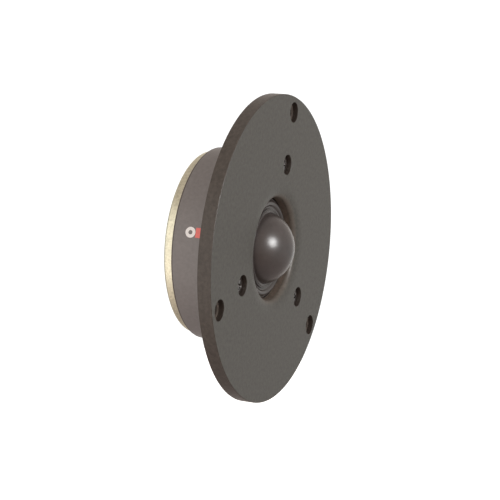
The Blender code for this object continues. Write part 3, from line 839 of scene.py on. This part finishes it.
def make_block_screws():
    for number in (1, 2):
        node = f"terminal_block_screw_{number}"
        low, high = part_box(node)
        place, seat = centre(node), rear("terminal_block") + 0.02 * MM
        head, shank, crown = (high.x - low.x) / 2, 1.1 * MM, high.y
        corners = [(0, low.y, 0), (shank, low.y + 1 * MM, 0), (shank, seat, 0), (head, seat, 0.1 * MM),
                   (head, seat + 0.75 * MM, 0.3 * MM), (head * 0.45, crown, 0.3 * MM), (0, crown, 0)]
        screw = moved(turned(f"block_screw_{number}", filleted(corners), 40), x=place.x, z=place.z)
        wings = cross_cutters(f"block_recess_{number}", 0, 1.0 * MM, 0.25 * MM, 0.7 * MM, 20 + 50 * number)
        for wing in wings:
            wing.data.transform(Matrix.Rotation(math.pi, 4, "X"))
        cut(screw, [moved(wing, x=place.x, y=crown, z=place.z) for wing in wings])
        finish_piece(weighted(screw), "dark_screw_steel", replaces=[node])


def strand_mesh(node, start):
    """One of the two strands of a lead, as a bmesh. It winds about the lead's line, from this turn in radians,
    and the lead hangs slack beside the coil."""
    low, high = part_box(node)
    middle, level = (low.z + high.z) / 2, rear(node) - 0.25 * MM
    around = [Vector((0, STRAND_RADIUS * math.cos(a), STRAND_RADIUS * math.sin(a)))
              for a in np.linspace(0, math.tau, STRAND_SIDES + 1)[:-1]]
    bm = bmesh.new()
    rings = []
    for k in range(LEAD_STEPS):
        share = k / (LEAD_STEPS - 1)
        x = low.x + 0.05 * MM + share * (high.x - low.x - 0.1 * MM)
        slack = SLACK * math.sin(math.pi * min(1.0, share / SLACK_SHARE))
        turn = share * math.tau * TWISTS + start
        heart = Vector((x, level - slack + TWIST_RADIUS * math.cos(turn),
                        middle + TWIST_RADIUS * math.sin(turn)))
        rings.append([bm.verts.new(heart + step) for step in around])
    for here, there in zip(rings, rings[1:]):
        for k in range(STRAND_SIDES):
            after = (k + 1) % STRAND_SIDES
            bm.faces.new((here[k], here[after], there[after], there[k]))
    bm.faces.new(rings[0])
    bm.faces.new(rings[-1][::-1])
    return bm


def make_leads():
    """Each lead is two fine strands twisted together."""
    for name in ("positive", "negative"):
        node = f"coil_lead_{name}"
        for strand in (0, 1):
            lead = new_object(f"lead_{name}_strand_{strand + 1}", strand_mesh(node, strand * math.pi))
            finish_piece(lead, "coil_copper", body=None)
            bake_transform(lead)
            if strand == 0:
                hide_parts(node)


def make_winding():
    """The voice coil as a stack of round turns. Its former keeps the CAD shape."""
    low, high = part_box("voice_coil")
    inner, outer = radii("voice_coil")[0], radii("voice_coil")[-1]
    wire = 0.2 * MM
    turns = int((high.y - low.y) / wire)
    profile = []
    for k in range(turns):
        profile += arc((outer - wire / 2, low.y + (k + 0.5) * wire), wire / 2, -80, 80, 5)
    profile += [(inner, low.y + turns * wire), (inner, low.y)]
    coil = turned("winding", profile, 128, sharp=80)
    finish_piece(coil, "coil_copper", body=DIAPHRAGM_BODY, replaces=["voice_coil"])


# The plain inner pieces keep their CAD shape and take a procedural finish
INNER_FINISHES = {
    "faceplate_gasket": "gasket_foam",
    "diaphragm_ring": "ring_plastic",
    "coil_former": "former_aluminium",
    "locating_pin_1": "pin_brass",
    "locating_pin_2": "pin_brass",
    "top_plate": "bare_steel",
    "magnet": "ferrite",
    "pole_felt_ring": "felt",
    "chamber_felt": "felt",
}


def dress_inner_nodes():
    for node, finish in INNER_FINISHES.items():
        for material_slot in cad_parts[node].material_slots:
            material_slot.material = FINISHES[finish]


# ---------------------------------------------------------------- camera, floor and light

AZIMUTH, ELEVATION, ROLL = map(math.radians, (-66.909, -3.238, 7.35))
DISTANCE = 520.9 * MM
SHIFT_RIGHT, SHIFT_UP = 4.96 * MM, -0.77 * MM
LENS, SENSOR_WIDTH = 105.0, 36.0

# The light that the object sees by height: straight down, the horizon halfway, straight up
HEIGHT_STOPS = [(0.0, (0.75, 0.62, 0.6)), (0.1, (0.7, 0.6, 0.57)), (0.25, (0.76, 0.66, 0.61)),
                (0.5, (0.94, 0.93, 0.9)), (0.75, (1.02, 0.93, 0.86)), (1.0, (1.05, 0.92, 0.85))]
# What it is multiplied by across the room: the white backdrop behind the object, then the dim front
FRONT_OF_ROOM = (-0.918, -0.391, -0.058)
DEPTH_STOPS = [(0.0, (1.2, 1.2, 1.2)), (0.05, (1.15, 1.15, 1.15)), (0.12, (0.6, 0.6, 0.6)),
               (0.35, (0.55, 0.55, 0.55)), (0.7, (0.54, 0.53, 0.52)), (0.9, (0.58, 0.5, 0.46)),
               (1.0, (0.6, 0.5, 0.46))]
BACKDROP = (1.2, 1.2, 1.2, 1)
KEY_DIRECTION = (-0.334, -0.899, 0.285)


def make_camera():
    """The photograph's viewpoint, with the picture's roll and an aim a little off the object's middle."""
    back = Vector((math.sin(AZIMUTH) * math.cos(ELEVATION), -math.cos(AZIMUTH) * math.cos(ELEVATION),
                   math.sin(ELEVATION)))
    level = Vector((math.cos(AZIMUTH), math.sin(AZIMUTH), 0))
    above = back.cross(level)
    right = level * math.cos(ROLL) + above * math.sin(ROLL)
    up = above * math.cos(ROLL) - level * math.sin(ROLL)
    camera = bpy.data.objects.new("camera", bpy.data.cameras.new("camera"))
    camera.data.lens, camera.data.sensor_width = LENS, SENSOR_WIDTH
    camera.data.clip_start = 10 * MM
    turn = Matrix((right, up, back)).transposed().to_4x4()
    turn.translation = back * DISTANCE - right * SHIFT_RIGHT + up * SHIFT_UP
    camera.matrix_world = turn
    bpy.context.scene.collection.objects.link(camera)
    bpy.context.scene.camera = camera


def make_floor():
    """A plain white floor. It shines a little, and it neither shades nor mirrors in the object."""
    bm = bmesh.new()
    bmesh.ops.create_grid(bm, x_segments=1, y_segments=1, size=4)
    floor = moved(new_object("floor", bm), z=CAD_BOX[0].z - 45 * MM)
    pale = bpy.data.materials.new("pale_floor")
    pale.use_nodes = True
    shader = pale.node_tree.nodes["Principled BSDF"]
    shader.inputs["Base Color"].default_value = (0.9, 0.9, 0.9, 1)
    shader.inputs["Roughness"].default_value = 0.9
    shader.inputs["Specular IOR Level"].default_value = 0.1
    shader.inputs["Emission Color"].default_value = (1, 1, 1, 1)
    shader.inputs["Emission Strength"].default_value = 1.0
    floor.data.materials.append(pale)
    floor.visible_diffuse = floor.visible_glossy = floor.visible_shadow = False


def area_light(name, direction, distance, size, radiance, colour=(1, 1, 1), diffuse=True, glossy=True):
    """A round softbox that looks at the object from this direction, as bright as its radiance."""
    data = bpy.data.lights.new(name, "AREA")
    data.shape, data.size, data.color = "DISK", size, colour
    data.energy = radiance * math.pi * math.pi * size * size / 4
    light = bpy.data.objects.new(name, data)
    light.location = Vector(direction).normalized() * distance
    light.rotation_euler = (-light.location).to_track_quat("-Z", "Y").to_euler()
    light.visible_camera, light.visible_diffuse, light.visible_glossy = False, diffuse, glossy
    bpy.context.scene.collection.objects.link(light)


def make_lights():
    area_light("key", KEY_DIRECTION, 0.9, 0.3, 17, glossy=False)
    area_light("glint", KEY_DIRECTION, 0.9, 0.25, 75, diffuse=False)
    area_light("window", (-0.85, 0.46, -0.2), 0.9, 1.5, 0.88, (1, 0.98, 0.96))
    area_light("card", (-0.47, 0.42, -0.78), 0.8, 0.9, 0.4, (1, 0.86, 0.76), diffuse=False)


def gradient(nodes, value, stops):
    """A colour that follows a value from -1 to 1 through the stops."""
    span = nodes.node("MapRange", From_Min=-1)
    nodes.link(value, span.inputs["Value"])
    return nodes.ramp(span.outputs["Result"], stops)


def make_world():
    """A studio that is plain white to the camera. To the object it is warmer and dimmer below, a little warm
    overhead, bright at the backdrop and dim in front."""
    world = bpy.data.worlds.new("studio")
    world.use_nodes = True
    nodes = Nodes(world.node_tree)
    directions = nodes.node("TexCoord").outputs["Generated"]
    across = nodes.node("VectorMath")
    across.operation = "DOT_PRODUCT"
    across.inputs[1].default_value = FRONT_OF_ROOM
    nodes.link(directions, across.inputs[0])
    light = nodes.product(gradient(nodes, nodes.axes(directions)["Z"], HEIGHT_STOPS),
                          gradient(nodes, across.outputs["Value"], DEPTH_STOPS))
    seen = nodes.node("MixRGB", Color2=BACKDROP)
    nodes.link(light, seen.inputs["Color1"])
    nodes.link(nodes.node("LightPath").outputs["Is Camera Ray"], seen.inputs["Fac"])
    nodes.link(seen.outputs["Color"], world.node_tree.nodes["Background"].inputs["Color"])
    bpy.context.scene.world = world


def main():
    make_camera()
    make_floor()
    make_world()
    make_lights()
    make_faceplate()
    make_dome()
    make_surround()
    make_motor_screws()
    make_sleeve()
    make_back_plate()
    make_pole_piece()
    make_mark()
    make_terminal_block()
    make_tabs()
    make_block_screws()
    make_leads()
    make_winding()
    dress_inner_nodes()
    bpy.context.scene.view_settings.view_transform = "Standard"


main()
